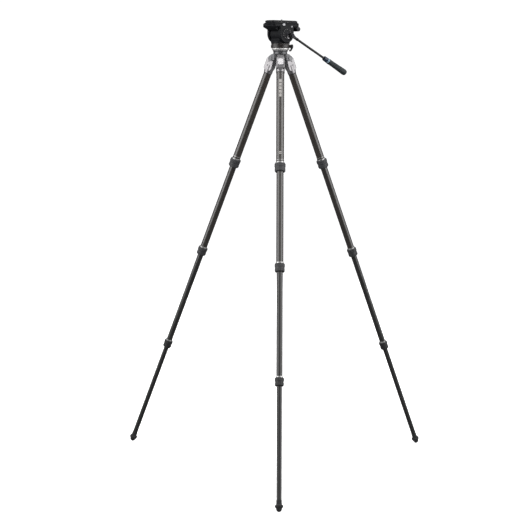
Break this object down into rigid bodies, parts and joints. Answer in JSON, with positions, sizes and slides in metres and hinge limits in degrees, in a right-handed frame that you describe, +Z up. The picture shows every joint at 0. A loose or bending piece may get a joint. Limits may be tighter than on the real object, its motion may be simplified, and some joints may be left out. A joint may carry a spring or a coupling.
{
  "type": "tripod with fluid head",
  "caption": "Columnless tripod with telescoping twist-lock legs and a compact fluid head: panning base, tilting cradle, sliding camera plate and a long pan handle.",
  "frame": {"origin": "on the tripod's vertical axis, in the plane its feet stand on", "axes": "+Z up; the front leg points along -Y; the head looks along the azimuth 218 degrees from +X"},
  "size_m": [1.2034, 1.0461, 1.7293],
  "materials": {
    "leg_metal": "cast and satin painted, silver grey",
    "tab_metal": "bright satin",
    "carbon": "clear-coated woven carbon fibre",
    "seat_metal": "turned, bright anodised",
    "collar_rubber": "ribbed dark rubber",
    "foot_rubber": "moulded dark rubber",
    "hub_metal": "satin dark grey",
    "bolt_steel": "turned steel",
    "disc_metal": "turned, bright",
    "head_black": "fine-textured black",
    "plate_black": "black anodised",
    "button_metal": "polished",
    "level_fluid": "clear vial with tinted fluid",
    "knob_plastic": "moulded, matte",
    "pad_rubber": "soft, fine ribs",
    "bar_black": "black anodised",
    "grip_rubber": "soft, ribbed"
  },
  "bodies": {
    "hub": {"hub": "hub_metal", "platform_disc": "disc_metal", "platform_screw": "bolt_steel", "leg_pivot_bolts": "bolt_steel", "pan_base": "head_black", "bubble_level": "level_fluid"},
    "pan_lock": {"pan_lock_knob": "knob_plastic"},
    "head": {"head_housing": "head_black", "drag_discs": "bolt_steel", "counterbalance_spring": "bolt_steel"},
    "cradle": {"tilt_cradle": "head_black", "tilt_axle": "bolt_steel", "handle_rosette": "head_black"},
    "tilt_lock": {"tilt_lock_lever": "knob_plastic"},
    "plate": {"quick_release_plate": "plate_black", "plate_pads": "pad_rubber"},
    "camera_screw_body": {"camera_screw": "bolt_steel"},
    "plate_clamp": {"plate_clamp_knob": "knob_plastic"},
    "plate_button": {"plate_release_button": "button_metal"},
    "handle": {"handle_bar": "bar_black", "handle_grip": "grip_rubber"},
    "front_leg": {"front_leg_casting": "leg_metal", "front_tube_1": "carbon", "front_lock_seat_1": "seat_metal"},
    "front_tab": {"front_angle_tab": "tab_metal"},
    "front_section_2": {"front_tube_2": "carbon", "front_lock_seat_2": "seat_metal"},
    "front_section_3": {"front_tube_3": "carbon", "front_lock_seat_3": "seat_metal"},
    "front_section_4": {"front_tube_4": "carbon", "front_foot": "foot_rubber"},
    "front_collar_1": {"front_lock_collar_1": "collar_rubber"},
    "front_collar_2": {"front_lock_collar_2": "collar_rubber"},
    "front_collar_3": {"front_lock_collar_3": "collar_rubber"},
    "right_leg": {"right_leg_casting": "leg_metal", "right_tube_1": "carbon", "right_lock_seat_1": "seat_metal"},
    "right_tab": {"right_angle_tab": "tab_metal"},
    "right_section_2": {"right_tube_2": "carbon", "right_lock_seat_2": "seat_metal"},
    "right_section_3": {"right_tube_3": "carbon", "right_lock_seat_3": "seat_metal"},
    "right_section_4": {"right_tube_4": "carbon", "right_foot": "foot_rubber"},
    "right_collar_1": {"right_lock_collar_1": "collar_rubber"},
    "right_collar_2": {"right_lock_collar_2": "collar_rubber"},
    "right_collar_3": {"right_lock_collar_3": "collar_rubber"},
    "left_leg": {"left_leg_casting": "leg_metal", "left_tube_1": "carbon", "left_lock_seat_1": "seat_metal"},
    "left_tab": {"left_angle_tab": "tab_metal"},
    "left_section_2": {"left_tube_2": "carbon", "left_lock_seat_2": "seat_metal"},
    "left_section_3": {"left_tube_3": "carbon", "left_lock_seat_3": "seat_metal"},
    "left_section_4": {"left_tube_4": "carbon", "left_foot": "foot_rubber"},
    "left_collar_1": {"left_lock_collar_1": "collar_rubber"},
    "left_collar_2": {"left_lock_collar_2": "collar_rubber"},
    "left_collar_3": {"left_lock_collar_3": "collar_rubber"}
  },
  "joints": [
    {"name": "front_leg_swing", "type": "hinge", "parent": "hub", "child": "front_leg", "pos_m": [0, -0.0305, 1.58206], "axis": [-1, 0, 0], "range_deg": [-22.5, 0]},
    {"name": "front_tab_pull", "type": "slide", "parent": "front_leg", "child": "front_tab", "axis": [0, -0.9239, 0.3827], "range_m": [0, 0.006]},
    {"name": "front_lock_twist_1", "type": "hinge", "parent": "front_leg", "child": "front_collar_1", "pos_m": [0, -0.19858, 1.17629], "axis": [0, -0.3827, -0.9239], "range_deg": [0, 90]},
    {"name": "front_section_slide_2", "type": "slide", "parent": "front_leg", "child": "front_section_2", "axis": [0, 0.3827, 0.9239], "range_m": [0, 0.346]},
    {"name": "front_lock_twist_2", "type": "hinge", "parent": "front_section_2", "child": "front_collar_2", "pos_m": [0, -0.34641, 0.81939], "axis": [0, -0.3827, -0.9239], "range_deg": [0, 90]},
    {"name": "front_section_slide_3", "type": "slide", "parent": "front_section_2", "child": "front_section_3", "axis": [0, 0.3827, 0.9239], "range_m": [0, 0.384]},
    {"name": "front_lock_twist_3", "type": "hinge", "parent": "front_section_3", "child": "front_collar_3", "pos_m": [0, -0.50847, 0.42813], "axis": [0, -0.3827, -0.9239], "range_deg": [0, 90]},
    {"name": "front_section_slide_4", "type": "slide", "parent": "front_section_3", "child": "front_section_4", "axis": [0, 0.3827, 0.9239], "range_m": [0, 0.403]},
    {"name": "right_leg_swing", "type": "hinge", "parent": "hub", "child": "right_leg", "pos_m": [0.02641, 0.01525, 1.58206], "axis": [0.5, -0.866, 0], "range_deg": [-22.5, 0]},
    {"name": "right_tab_pull", "type": "slide", "parent": "right_leg", "child": "right_tab", "axis": [0.8001, 0.4619, 0.3827], "range_m": [0, 0.006]},
    {"name": "right_lock_twist_1", "type": "hinge", "parent": "right_leg", "child": "right_collar_1", "pos_m": [0.17197, 0.09929, 1.17629], "axis": [0.3314, 0.1913, -0.9239], "range_deg": [0, 90]},
    {"name": "right_section_slide_2", "type": "slide", "parent": "right_leg", "child": "right_section_2", "axis": [-0.3314, -0.1913, 0.9239], "range_m": [0, 0.346]},
    {"name": "right_lock_twist_2", "type": "hinge", "parent": "right_section_2", "child": "right_collar_2", "pos_m": [0.3, 0.1732, 0.81939], "axis": [0.3314, 0.1913, -0.9239], "range_deg": [0, 90]},
    {"name": "right_section_slide_3", "type": "slide", "parent": "right_section_2", "child": "right_section_3", "axis": [-0.3314, -0.1913, 0.9239], "range_m": [0, 0.384]},
    {"name": "right_lock_twist_3", "type": "hinge", "parent": "right_section_3", "child": "right_collar_3", "pos_m": [0.44035, 0.25424, 0.42813], "axis": [0.3314, 0.1913, -0.9239], "range_deg": [0, 90]},
    {"name": "right_section_slide_4", "type": "slide", "parent": "right_section_3", "child": "right_section_4", "axis": [-0.3314, -0.1913, 0.9239], "range_m": [0, 0.403]},
    {"name": "left_leg_swing", "type": "hinge", "parent": "hub", "child": "left_leg", "pos_m": [-0.02641, 0.01525, 1.58206], "axis": [0.5, 0.866, 0], "range_deg": [-22.5, 0]},
    {"name": "left_tab_pull", "type": "slide", "parent": "left_leg", "child": "left_tab", "axis": [-0.8001, 0.4619, 0.3827], "range_m": [0, 0.006]},
    {"name": "left_lock_twist_1", "type": "hinge", "parent": "left_leg", "child": "left_collar_1", "pos_m": [-0.17197, 0.09929, 1.17629], "axis": [-0.3314, 0.1913, -0.9239], "range_deg": [0, 90]},
    {"name": "left_section_slide_2", "type": "slide", "parent": "left_leg", "child": "left_section_2", "axis": [0.3314, -0.1913, 0.9239], "range_m": [0, 0.346]},
    {"name": "left_lock_twist_2", "type": "hinge", "parent": "left_section_2", "child": "left_collar_2", "pos_m": [-0.3, 0.1732, 0.81939], "axis": [-0.3314, 0.1913, -0.9239], "range_deg": [0, 90]},
    {"name": "left_section_slide_3", "type": "slide", "parent": "left_section_2", "child": "left_section_3", "axis": [0.3314, -0.1913, 0.9239], "range_m": [0, 0.384]},
    {"name": "left_lock_twist_3", "type": "hinge", "parent": "left_section_3", "child": "left_collar_3", "pos_m": [-0.44035, 0.25424, 0.42813], "axis": [-0.3314, 0.1913, -0.9239], "range_deg": [0, 90]},
    {"name": "left_section_slide_4", "type": "slide", "parent": "left_section_3", "child": "left_section_4", "axis": [0.3314, -0.1913, 0.9239], "range_m": [0, 0.403]},
    {"name": "pan_lock_turn", "type": "hinge", "parent": "hub", "child": "pan_lock", "pos_m": [0.04432, -0.00781, 1.6277], "axis": [0.9848, -0.1736, 0], "range_deg": [0, 80]},
    {"name": "pan", "type": "hinge", "parent": "hub", "child": "head", "pos_m": [0, 0, 1.6427], "axis": [0, 0, 1], "continuous": true},
    {"name": "tilt", "type": "hinge", "parent": "head", "child": "cradle", "pos_m": [0, 0, 1.6737], "axis": [0.6157, -0.788, 0], "range_deg": [-50, 60]},
    {"name": "tilt_lock_turn", "type": "hinge", "parent": "cradle", "child": "tilt_lock", "pos_m": [-0.02157, 0.03898, 1.6562], "axis": [-0.6157, 0.788, 0], "range_deg": [0, 75]},
    {"name": "plate_slide", "type": "slide", "parent": "cradle", "child": "plate", "axis": [-0.788, -0.6157, 0], "range_m": [-0.02, 0.02]},
    {"name": "camera_screw_turn", "type": "hinge", "parent": "plate", "child": "camera_screw_body", "pos_m": [0.00394, 0.00308, 1.7207], "axis": [0, 0, 1], "continuous": true},
    {"name": "plate_clamp_turn", "type": "hinge", "parent": "cradle", "child": "plate_clamp", "pos_m": [0.06649, -0.00389, 1.6924], "axis": [0.6157, -0.788, 0], "range_deg": [0, 180]},
    {"name": "plate_button_press", "type": "slide", "parent": "cradle", "child": "plate_button", "axis": [-0.6157, 0.788, 0], "range_m": [0, 0.0025], "stiffness_N_per_m": 800},
    {"name": "handle_angle", "type": "hinge", "parent": "cradle", "child": "handle", "pos_m": [0.04339, -0.02955, 1.6665], "axis": [-0.6157, 0.788, 0], "range_deg": [-40, 40]}
  ]
}
